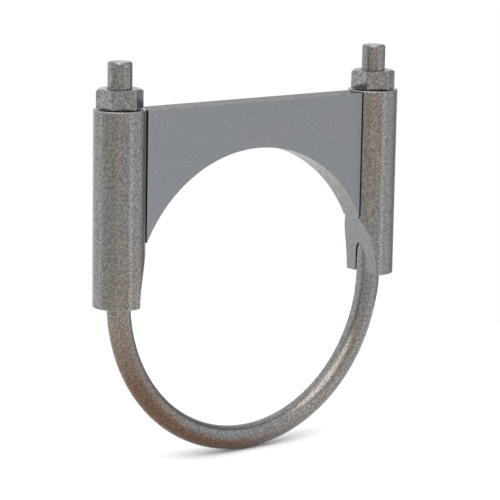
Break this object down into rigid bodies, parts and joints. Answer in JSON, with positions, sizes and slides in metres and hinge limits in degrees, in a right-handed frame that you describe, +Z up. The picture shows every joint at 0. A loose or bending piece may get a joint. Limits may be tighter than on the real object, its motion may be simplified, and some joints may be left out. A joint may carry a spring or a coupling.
{
  "type": "u-bolt exhaust clamp",
  "caption": "Round-rod U-bolt with a one-piece arched saddle that slides down both legs and is drawn onto a pipe by a hex nut on each threaded end.",
  "frame": {"origin": "centre of the clamped pipe, midway between the legs and in the plane of the bend", "axes": "+Y along the pipe, +Z up the legs towards the nuts, the left leg at -X"},
  "size_m": [0.1528, 0.0212, 0.1679],
  "materials": {
    "rod": "dull grey plated rod, fine gritty grain",
    "saddle": "dull bluish grey plated plate, smooth web and gritty sleeves",
    "nut": "dull grey plated nut, gritty flats"
  },
  "bodies": {
    "u_bolt": {"u_bolt": "rod"},
    "saddle": {"saddle": "saddle"},
    "left_nut": {"left_nut": "nut"},
    "right_nut": {"right_nut": "nut"}
  },
  "joints": [
    {"name": "saddle_slide", "type": "slide", "parent": "u_bolt", "child": "saddle", "axis": [0, 0, 1], "range_m": [-0.007, 0.01]},
    {"name": "left_nut_turn", "type": "hinge", "parent": "saddle", "child": "left_nut", "pos_m": [-0.06575, 0, 0.0785], "axis": [0, 0, 1], "range_deg": [-1681, 2401]},
    {"name": "right_nut_turn", "type": "hinge", "parent": "saddle", "child": "right_nut", "pos_m": [0.06575, 0, 0.0785], "axis": [0, 0, 1], "range_deg": [-1681, 2401]}
  ],
  "couplings": [
    {"joint": "left_nut_turn", "follows": "saddle_slide", "rad_per_m": 4188.8},
    {"joint": "right_nut_turn", "follows": "saddle_slide", "rad_per_m": 4188.8}
  ]
}
